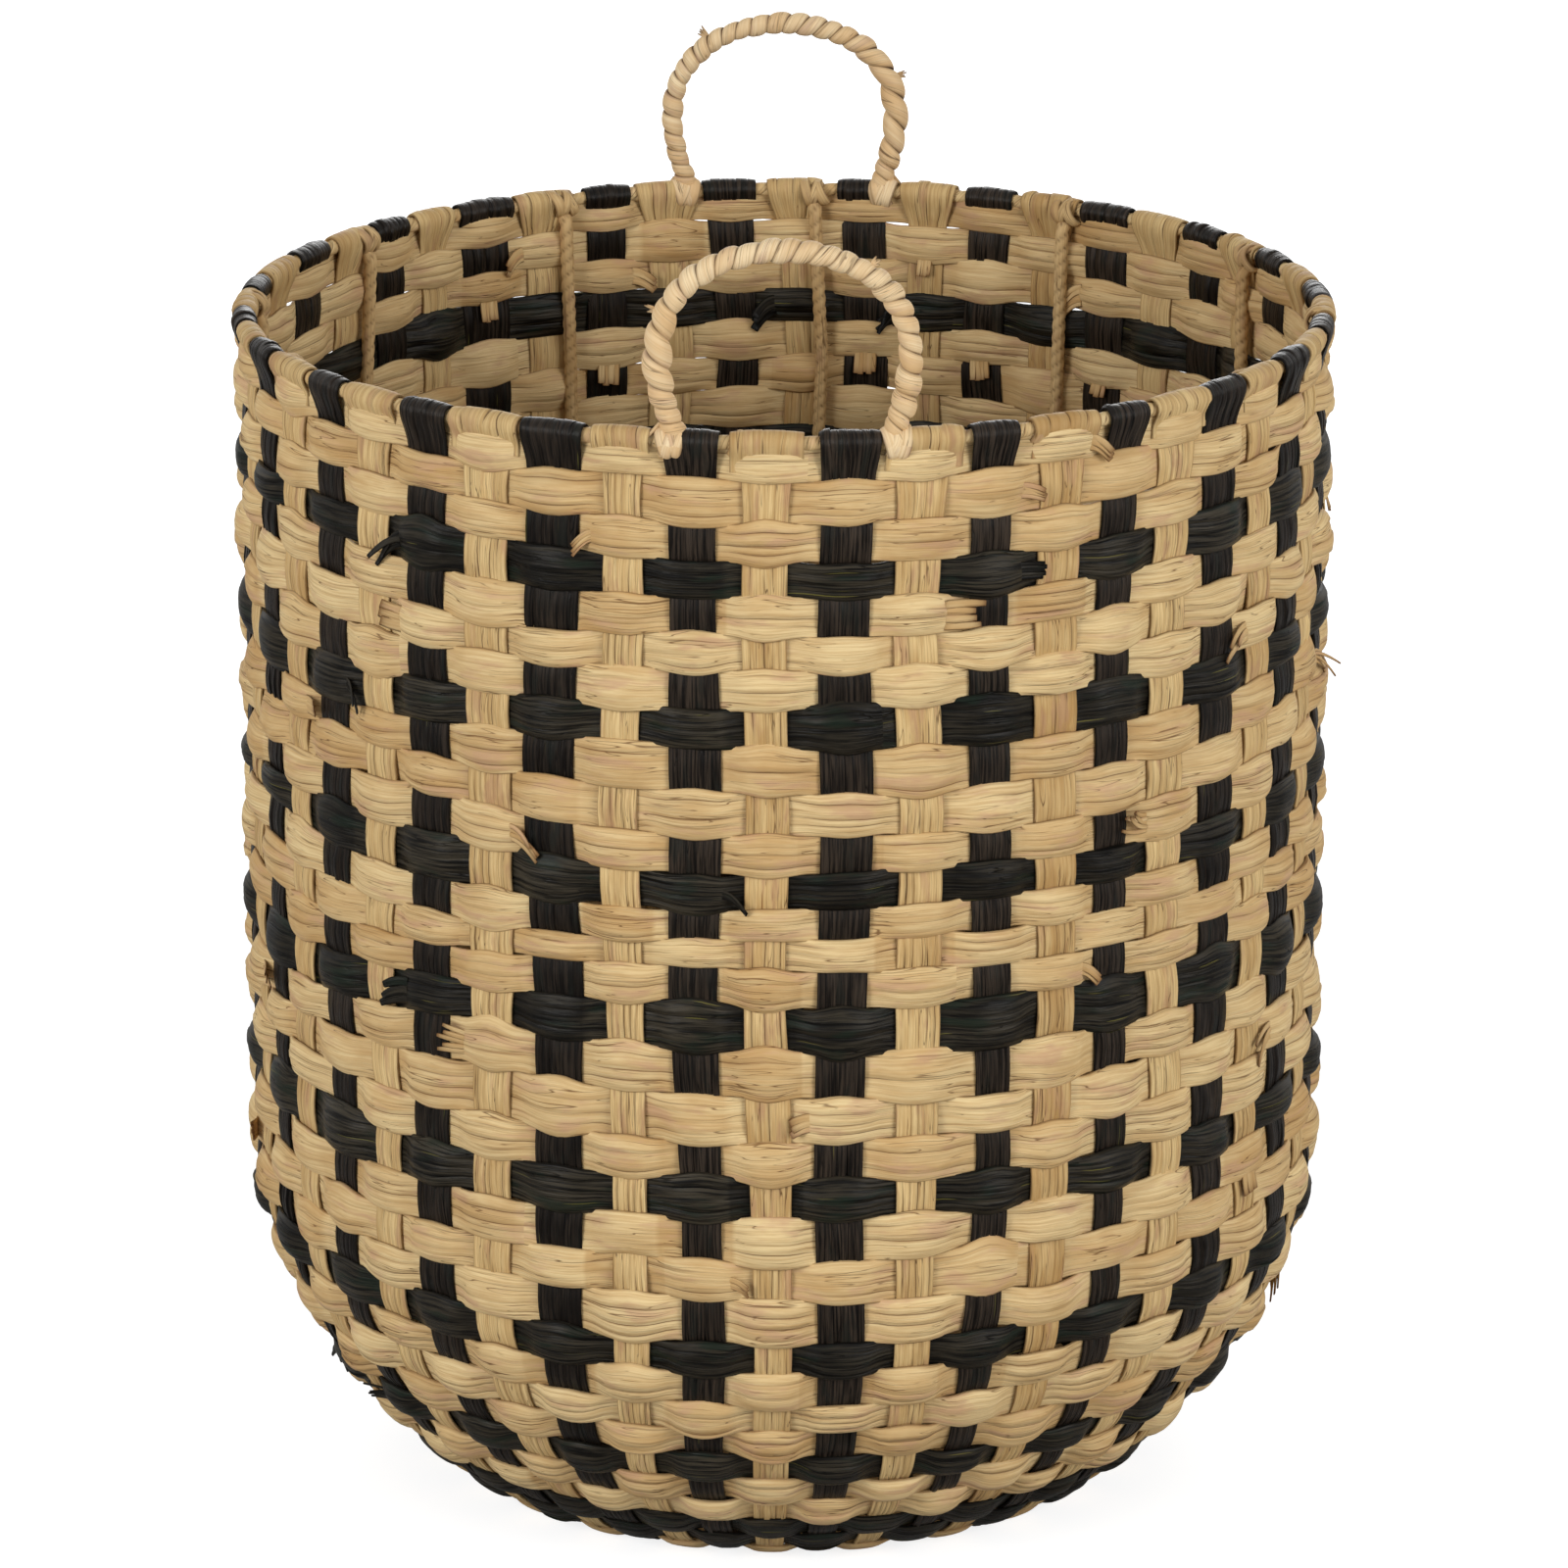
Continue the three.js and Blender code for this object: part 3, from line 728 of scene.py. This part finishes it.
def wound_strip(path, normal, core, widths, lap, lump, slants, seed, end_deepening=0.0, closed=False):
    """A strip wound as a helix round a path, with one share of the path for each turn. Across its
    width it leans on the turn before it and is rounded on top, the wider the higher. Each turn is
    pulled along the path by its slant on one side and back by it on the other. Its tone deepens
    towards its ends by the given share times the square of the way there from the middle."""
    rng = np.random.default_rng(seed)
    turns = len(widths)
    count = turns * wound_steps
    knots = turns + (0 if closed else 2)
    place = np.linspace(0, turns, count, endpoint=not closed)
    turn = 2 * math.pi * place[:, None]
    uneven = rng.normal(0, 1, (3, knots))
    arc = arc_along(path)
    pitch = arc[-1] / turns
    period = arc[-1] if closed else None
    drift = np.concatenate([[0], np.cumsum(widths / np.mean(widths) - 1), [0]])[:knots] * pitch

    def read(table, where):
        """Rows of a table of the path, read between its points at given lengths along it."""
        columns = [np.interp(where, arc, column, period=period) for column in table.T]
        return np.stack(columns, axis=1)

    def strip_middle(place):
        """Length along the path of the strip's middle: its share, its drift and its slant."""
        slant = slants[0] + slants[1] * eased(uneven[0], place)
        return place * pitch + eased(drift, place) - slant * np.sin(turn[:, 0])

    at = strip_middle(place)
    before, after = at - strip_middle(place - 1), strip_middle(place + 1) - at
    if not closed:
        at = np.clip(at, MM, arc[-1] - MM)
    centre, side = read(path, at), unit(read(normal, at))
    way = unit(read(path, at + way_step) - read(path, at - way_step))
    out = side * np.cos(turn) + np.cross(side, way) * np.sin(turn)
    core = np.broadcast_to(core if np.ndim(core) == 0 else np.interp(at, arc, core), (count,))
    wide = np.clip((before + after) / (2 * pitch), 0.7, 1.6)
    rounding = lump * (1 + 0.2 * eased(uneven[1], place)) * wide
    share = np.broadcast_to(np.sin(np.linspace(-math.pi / 2, math.pi / 2, 13)), (count, 13))
    lean = 0.1 * lump * (1 - share)
    top = core[:, None] + wound_edge + lean + rounding[:, None] * crown(share)
    under_share = np.broadcast_to(np.linspace(1, -1, 5), (count, 5))
    under = core[:, None] + 0.1 * lump * (1 - under_share)
    reach = (0.5 + lap) * np.maximum(np.stack([before, after]), 0.3 * pitch)
    rings = np.concatenate([
        centre[:, None] + out[:, None] * radius[..., None]
        + way[:, None] * (shares * np.where(shares < 0, *reach[..., None]))[..., None]
        for shares, radius in ((share, top), (under_share, under))], axis=1)
    along = np.arange(count + 1) / wound_steps * 2 * math.pi * (core.mean() + lump) + seed
    tone = 0.35 + 0.25 * eased(uneven[2], place) + end_deepening * (2 * place / turns - 1) ** 2
    # Painted shade: darker where each turn meets the next, and full on the underside by the core.
    seam_shade = np.clip((np.abs(share) - 1 + seam_band) / seam_band, 0, 1)
    painted_shade_and_edges = np.concatenate([seam_shade, np.ones((count, 5))], axis=1)
    return skin(
        rings, along, girth_of(share, under_share, wound_width), np.clip(tone, 0, 1)[:, None],
        painted_shade_and_edges, closed)


ring_angle = np.linspace(0, 2 * math.pi, 1441)
rim_strip = wound_strip(
    around(ring_angle, stake_radius, rim_wire_level), around(ring_angle, 1.0, 0.0), rim_core,
    rim_widths, rim_lap, rim_lump, rim_slants, 71, closed=True)
add_piece("rim_wrap", [rim_strip], natural_weaver, ["wire_frame"])

upright_count = 12
upright_depth = 5.0 * MM
upright_core = 1.95 * MM
upright_ridge = 0.65 * MM
upright_lay = 10 * MM
upright_foot_arc = 27 * MM
upright_steps = 430
upright_sides = 16
bend_length = 9 * MM

# Loops that tie an upright to the ring, as steps along the ring and lean. Each loop reaches out of
# the wall and up it by two lengths, and its puff rounds it.
knot_loops = (-1, 0.5), (0, -0.35), (1, 0.3)
knot_step = 2.6 * MM
knot_reach = 4.2 * MM, 4.0 * MM
knot_width = 4.2 * MM
knot_inward = 1.5 * MM
knot_drop = 1 * MM
loop_edge = 0.35 * MM
loop_puff = 0.9 * MM
loop_steps = 28

# Loose fibre of the stem, twisted by hand: duller and more matt than strip.
twisted_fibre = hyacinth(
    "twisted_hyacinth_fibre", pale="#DDBF8C", deep="#B08A58", patch="#A98462", line="#5E4020",
    streak="#7A5A34", streak_from=0.78, roughness=0.68, gloss=0.2, bump=0.5, fibre_width=0.5 * MM)


def lashing(centre, angle, lean, reach, width, seed):
    """One loop of strip that ties something to the rim: an ellipse across the rim, leaned along
    it, and rounded outside."""
    rng = np.random.default_rng(seed)
    turn = np.arange(loop_steps) / loop_steps * 2 * math.pi
    uneven = eased(rng.normal(1, 0.05, 7), turn / (2 * math.pi) * 7)[:, None]
    across, up = around(angle, 1.0, 0.0), unit(np.array([0, 0, 1.0]) + tangent(angle) * lean)
    out = (across * (np.cos(turn)[:, None] * reach[0] * uneven)
           + up * (np.sin(turn)[:, None] * reach[1] * uneven))
    way = unit(np.cross(across, up))
    share = np.linspace(-1, 1, 7)
    rings = np.concatenate([
        (out + centre)[:, None] + unit(out)[:, None] * thick[None, :, None]
        + way[None, None] * (shares * width / 2)[None, :, None]
        for shares, thick in (
            (share, loop_edge + loop_puff * crown(share)), (share[::-1], np.zeros(7)))
    ], axis=1)
    along = np.arange(loop_steps + 1) / loop_steps * 2 * math.pi * reach[0] + seed
    # Darker edges: partly the strip's own browner edge, partly painted contact shadow.
    dark = np.abs(np.concatenate([share, share])) ** 12 * 0.7
    girth = np.linspace(0, 2 * width, 15)
    return skin(rings, along, girth, rng.uniform(0.2, 0.7), dark[None], closed=True)


def upright(number):
    """A wire in its twist of two strands: a tube along the inside of the wall whose radius rises
    and falls twice round the section, turned with the lay, and that bends out to the ring."""
    place = number * stake_count / upright_count - 0.5
    rng = np.random.default_rng(90 + number)
    arc = np.linspace(upright_foot_arc, rim_arc, upright_steps)
    bend = np.clip((arc - (rim_arc - bend_length)) / bend_length, 0, 1)
    line = on_wall(place - weave_turn, arc, -upright_depth * (1 - smooth(bend) * 0.95))
    angle = math.atan2(line[-1, 0], -line[-1, 1])
    across = tangent(angle)
    normal = unit(np.cross(unit(np.gradient(line, axis=0)), across))
    turn = np.arange(upright_sides) / upright_sides * 2 * math.pi
    slack = np.interp(arc, np.linspace(0, rim_arc, 12), rng.normal(0, 0.8, 12))
    lay = 2 * math.pi * arc / upright_lay + slack
    twist = np.abs(np.sin(turn[None] - lay[:, None]))
    radius = upright_core + upright_ridge * twist ** 0.5
    rings = line[:, None] + radius[..., None] * (
        across * np.cos(turn)[None, :, None] + normal[:, None] * np.sin(turn)[None, :, None])
    girth = np.append(turn, 2 * math.pi) * upright_core
    tone = 0.45 + 0.2 * math.sin(number * 2.1)
    # Painted shade in the grooves between the two strands of the twist.
    skins = [skin(rings, arc + number * 2.3, girth, tone, 0.8 * (1 - twist) ** 4)]
    knot = around(angle, stake_radius - knot_inward, rim_wire_level - knot_drop)
    for step, lean in knot_loops:
        skins.append(lashing(
            knot + across * step * knot_step, angle, lean, knot_reach, knot_width,
            600 + 3 * number + step))
    add_piece(f"upright_{number + 1:02d}", skins, twisted_fibre, ["wire_frame"])


for number in range(upright_count):
    upright(number)

# Handles
# A bent wire arch stands on the rim between two folds at the front and at the back. It is wound
# closely with a narrow natural strip, and loops of strip lash its feet to the rim.
handle_half_angle = 1.5 * stake_angle
handle_foot = stake_radius * math.sin(handle_half_angle)
handle_depth = stake_radius * math.cos(handle_half_angle)
handle_bulge = 22 * MM
handle_base = 442.6 * MM
handle_rise = 60.4 * MM
below_base = 0.06
handle_core = 2.4 * MM
core_waver = 0.3 * MM
foot_flare = 0.4 * MM
handle_turns = 27
handle_lap = 0.04
handle_lump = 1.35 * MM
handle_slants = 0.2 * MM, 0.8 * MM
# The winding's tone gets deeper towards its feet by this share.
handle_end_deepening = 0.7
loose_turns = 1.7
end_turns = 0.7

# Frayed ends of the winding, as the arch's point out of 400, length and width in mm, and lean.
tufts = (90, 4.5, 3, 0.5), (262, 4, 3.5, -0.4), (8, 8, 5, 1.2), (392, 9, 6, -1.4)

# Loops at each foot, as steps along the rim and lean.
foot_loops = (-0.8, -0.3), (-0.2, 0.35), (0.3, -0.4), (0.8, 0.25)
foot_step = 2.8 * MM
foot_reach = 4.2 * MM, 4.6 * MM
foot_width = 4.8 * MM
foot_drop = 0.6 * MM

# Strip of the pale inner stem, rubbed smooth by hands: the lightest of all, with little relief.
natural_wrap = hyacinth(
    "natural_hyacinth_wrap", pale="#F8E2B9", deep="#D6AE7A", patch="#CCA98C", line="#553719",
    streak="#A07C50", streak_from=0.78, bump=0.4)

# Drawn iron wire, left bare: dark grey and half matt. It shows only between the turns.
iron_wire, _, _ = plain_material("plain_iron_wire", {
    "Base Color": linear("#6A6560"), "Metallic": 1.0, "Roughness": 0.45})


def ribbon(line, wide, normal, half, along, tone, dark):
    """A thin narrow strip along a line: sections of six corners at shares of its half width, brown
    at its edges, partly its own colour and partly painted contact shadow, with painted shade on
    its underside and as much more darkness along it as it is given."""
    corners = ((-1, 0), (-0.6, 0.28), (0.6, 0.32), (1, 0), (0.6, -0.25), (-0.6, -0.25))
    points = [line + wide * (share * half)[:, None] + normal * high * MM for share, high in corners]
    # Painted shade underneath, and edges partly painted contact shadow.
    painted_shade_and_edges = np.clip(dark[:, None] + np.array([0.5, 0, 0, 0.5, 0.2, 0.2])[None], 0, 1)
    return skin(np.stack(points, axis=1), along, np.arange(7) * half.max() / 1.5, tone, painted_shade_and_edges)


def tuft(start, way, normal, length, width, rng):
    """A frayed end of the winding: ribbons that fan out from a point and curl along a square."""
    skins = []
    wide = unit(np.cross(normal, way))
    reach = np.linspace(0, 1, 8)
    for across in (-1, -0.35, 0.3, 0.9):
        long = length * rng.uniform(0.6, 1.1)
        curl = rng.uniform(-0.25, 0.35) * long
        fanned = (across * width / 3 * (0.4 + reach))[:, None]
        line = start + way * (reach * long)[:, None] + wide * fanned
        line = line + normal * (curl * reach ** 2)[:, None]
        half = width / 4 * 0.6 * (1 - 0.5 * reach ** 3)
        skins.append(ribbon(
            line, wide, normal, half, reach * long + rng.uniform(0, 9), rng.uniform(0.3, 0.8),
            0.1 + 0.6 * reach ** 5))
    return skins


for side_name, side in (("front", -1), ("back", 1)):
    turn = np.linspace(-below_base, math.pi + below_base, 400)
    x = np.cos(turn) * (handle_foot + handle_bulge * np.sin(turn))
    arch = np.stack([
        side * x, np.full_like(x, side * handle_depth), handle_base + handle_rise * np.sin(turn),
    ], axis=1)
    flare = foot_flare * np.clip(1 - np.sin(turn) / 0.3, 0, 1)
    core = handle_core + flare + core_waver * np.sin(5 * turn) ** 2
    rng = np.random.default_rng(60 + side)
    widths = rng.uniform(0.8, 1.2, handle_turns)
    widths[[0, 1, -2, -1]] *= end_turns
    widths[3:6] *= loose_turns
    skins = [wound_strip(
        arch, np.broadcast_to([0.0, 1.0, 0.0], arch.shape), core, widths, handle_lap, handle_lump,
        handle_slants, 80 + side, handle_end_deepening)]
    for at, length, width, lean in tufts:
        outward = unit(arch[at] - [0, side * handle_depth, handle_base])
        along_arch = unit(arch[at + 1] - arch[at])
        skins += tuft(
            arch[at] + (core[at] + 0.4 * MM) * outward, unit(outward - lean * along_arch),
            np.array([0.0, side, 0.0]), length * MM, width * MM, rng)
    for foot in (-1, 1):
        angle = (0 if side < 0 else math.pi) + foot * handle_half_angle
        rim_place = around(angle, stake_radius, rim_wire_level - foot_drop)
        for step, lean in foot_loops:
            skins.append(lashing(
                rim_place + tangent(angle) * step * foot_step, angle, lean, foot_reach,
                foot_width, int(700 + 10 * side + 10 * step + foot)))
    add_piece(
        f"{side_name}_handle_wound_strip", skins, natural_wrap,
        [f"{side_name}_handle_winding"])
    wire_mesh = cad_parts[f"{side_name}_handle_wire"].data
    wire_mesh.materials.clear()
    wire_mesh.materials.append(iron_wire)

# Loose ends
# Where a weaving strip runs out, the next is laid over it and both ends are cut short. The ends
# stick out beside a stake as square tabs, frayed brushes or curled tails, split along the fibre.
end_rng = np.random.default_rng(41)
dive_place = 0.38
end_height = 2.2 * MM
ribbon_step = 0.15 * MM


def loose_end(place, row, heading, side, length, width, lift, drop, fray):
    """A bundle of narrow ribbons that leaves a round near a place, where it dives under the next
    stake, or hangs from the edge of a float. It lies on the wall, in a heading counted from the
    way round, and rises off it by a power of its length. The ribbons differ with the fray. On side
    1, outside, a round covers the stakes that are as odd or even as it is."""
    parity = (row if side > 0 else row + 1) % 2
    onward, upward = math.cos(heading), math.sin(heading)
    shift = dive_place * round(onward)
    place = 2 * round((place - shift - parity) / 2) + parity + shift
    start = eased(row_middle[row], np.array([place]))[0] + 0.6 * upward * row_pitch / 2
    level = np.clip(start / flat_below, 0.3, 1)
    ribbons = int(end_rng.integers(3, 6))
    skins = []
    for k in range(ribbons):
        across = ((k + 0.5) / ribbons * 2 - 1) * width / 2
        reach = np.linspace(0, 1, 9)
        long = length * (1 + fray * end_rng.uniform(-0.35, 0.25)) * reach
        fall = drop * (1 + fray * end_rng.uniform(-0.4, 0.6)) + across * fray * 0.2
        rise = lift * (1 + fray * end_rng.uniform(-0.6, 0.6)) + ribbon_step * k
        spread = across * (1 + 0.2 * fray * reach)
        at = place + (long * onward - spread * upward) / stake_pitch
        arc = start + long * upward + spread * onward - fall * reach ** 2
        layer = (0.1 + 0.15 * fray) * MM * (k % 2)
        out = side * (end_height * level + rise * reach ** 1.6 + layer)
        line = on_wall(at, arc, out)
        normal = unit(on_wall(at, arc, out + side * MM) - line)
        wide = unit(np.cross(normal, np.gradient(line, axis=0)))
        half = width / ribbons * (0.85 - 0.2 * fray) * (1 - 0.35 * fray * reach ** 3)
        skins.append(ribbon(
            line, wide, normal, half, long + end_rng.uniform(0, 9), end_rng.uniform(0.4, 1.2),
            0.1 + 0.75 * reach ** 5))
    return skins


# Ends that stand out, as place, round, heading in degrees, side, length, width, lift and drop in
# mm. A short end is a square tab, and a long one is frayed. The others lie where chance has them.
noted_ends = [
    (2.75, 4, 0, 1, 11, 10, 1.2, 0), (4.35, 0, 0, 1, 8, 5, 2.5, 5), (2.6, 1, 0, 1, 8, 5, 1.8, 2),
    (-1.7, 2, 180, 1, 7, 4, 2.4, 5), (-0.6, 11, 0, 1, 9, 3, 1.8, 6), (2.5, 3, 0, 1, 9, 6, 1.5, 0),
    (1.25, 17, 180, 1, 8, 6, 1.5, 2), (-0.75, 21, 0, 1, 7, 4, 1.6, 3),
    (5.2, 10, 180, 1, 12, 7, 3.0, -4), (9.4, 8, 0, 1, 12, 5, 5.0, 8),
    (-5.5, 3, 180, 1, 12, 6, 3.0, 8), (-6.6, 7, 0, 1, 13, 4, 3.0, 10),
    (-3.6, 10, 0, 1, 11, 6, 2.0, 6), (-5.3, 15, 180, 1, 11, 9, 2.2, 3),
    (3.6, 14, 0, 1, 8, 4, 2.0, 5), (21.4, 3, 0, -1, 10, 9, 1.5, 5),
    (25.3, 3, 0, -1, 9, 7, 2.0, 6), (26.8, 2, 180, -1, 9, 6, 2.0, 4),
    (20.2, 2, 0, -1, 9, 8, 1.4, 7), (28.3, 1, 0, -1, 8, 5, 2.0, 5), (23, 4, -90, -1, 9, 8, 1.2, 0),
    (27, 4, -85, -1, 9, 8, 1.5, 0), (21, 4, -95, -1, 8, 7, 1.0, 0), (19, 4, -90, -1, 7, 6, 1.6, 0),
    (22, 1, -90, -1, 8, 5, 1.8, 0), (29, 2, -88, -1, 8, 7, 1.2, 0),
]
random_ends = 46
frayed_from = 9.5
tab_fray = 0.25
for k in range(random_ends):
    noted_ends.append((
        end_rng.uniform(0, stake_count), int(end_rng.integers(1, row_count - 2)),
        int(end_rng.choice([0, 180, 0, 180, -90])), 1 if k % 5 else -1, end_rng.uniform(6, 12),
        end_rng.uniform(4, 9), end_rng.uniform(0.8, 3), end_rng.uniform(-2, 7)))
ends = {"natural": [], "black": []}
for place, row, heading, side, length, width, lift, drop in noted_ends:
    ends["black" if is_black_row(row) else "natural"] += loose_end(
        place, row, math.radians(heading), side, length * MM, width * MM, lift * MM, drop * MM,
        1.0 if length > frayed_from else tab_fray)
add_piece("natural_loose_ends", ends["natural"], natural_weaver)
add_piece("black_loose_ends", ends["black"], black_weaver)

# Studio
# A pale floor that runs out of the picture, soft light from all round with a large lamp in front
# on either side and one behind, and the camera at the photograph's height and distance.
camera_distance = 2892.2 * MM
camera_elevation = math.radians(17.75)
camera_pitch = math.radians(17.063)
aim_height = 220 * MM
focal_pixels = 7952.2
picture_pixels = 1600
camera_data = bpy.data.cameras.new("camera")
camera_data.sensor_width = 36
camera_data.lens = focal_pixels / picture_pixels * camera_data.sensor_width
camera = add_object("camera", camera_data)
camera.location = (
    0, -camera_distance * math.cos(camera_elevation),
    aim_height + camera_distance * math.sin(camera_elevation))
camera.rotation_euler = (math.pi / 2 - camera_pitch, 0, 0)
bpy.context.scene.camera = camera

# Matt pale board, which glows for the camera alone, so that it is as white as the background.
floor_half = 15
floor_glow = 0.8
floor_mesh = bpy.data.meshes.new("floor")
floor_mesh.from_pydata(
    [(floor_half * x, floor_half * y, 0) for x, y in ((-1, -1), (1, -1), (1, 1), (-1, 1))],
    [], [(0, 1, 2, 3)])
floor = add_object("floor", floor_mesh)
floor_material, floor_tree, floor_shader = plain_material("matt_white_floor", {
    "Base Color": (0.5, 0.5, 0.5, 1), "Roughness": 1.0, "Specular IOR Level": 0.0,
    "Emission Color": (1, 1, 1, 1)})
floor_rays = add_node(floor_tree, "LightPath").outputs
glow = add_node(floor_tree, "Math", {
    0: floor_rays["Is Camera Ray"], 1: floor_glow}, operation="MULTIPLY")
floor_tree.links.new(glow.outputs[0], floor_shader.inputs["Emission Strength"])
floor_mesh.materials.append(floor_material)

# The sky is white to the camera and to gloss and clear pieces, and dimmer where it only lights.
sky_light = 0.345
world = bpy.data.worlds.new("studio")
bpy.context.scene.world = world
world.use_nodes = True
world_tree = world.node_tree
soft = world_tree.nodes["Background"]
soft.inputs["Color"].default_value = (1, 1, 1, 1)
soft.inputs["Strength"].default_value = sky_light
white = add_node(world_tree, "Background", {"Color": (1, 1, 1, 1), "Strength": 1.0})
rays = add_node(world_tree, "LightPath").outputs
seen = rays["Is Camera Ray"]
for ray in ("Is Glossy Ray", "Is Transmission Ray"):
    seen = add_node(world_tree, "Math", {0: seen, 1: rays[ray]}, operation="MAXIMUM")
both = add_node(world_tree, "MixShader", {0: seen, 1: soft, 2: white})
world_tree.links.new(both.outputs[0], world_tree.nodes["World Output"].inputs["Surface"])


def lamp(name, location, size, power):
    """A square soft lamp that faces the middle of the basket."""
    data = bpy.data.lights.new(name, "AREA")
    data.size = size
    data.energy = power
    lamp_object = add_object(name, data)
    lamp_object.location = location
    back = unit(np.array(location) - np.array([0, 0, aim_height]))
    lamp_object.rotation_euler = (math.acos(back[2]), 0, math.atan2(back[0], -back[1]))


lamp("left_lamp", (-2.2, -2.1, 1.3), 1.4, 49)
lamp("right_lamp", (2.3, -2.0, 1.2), 1.8, 51)
lamp("back_lamp", (0.2, 3.0, 1.3), 1.6, 32)
bpy.context.scene.view_settings.view_transform = "Standard"
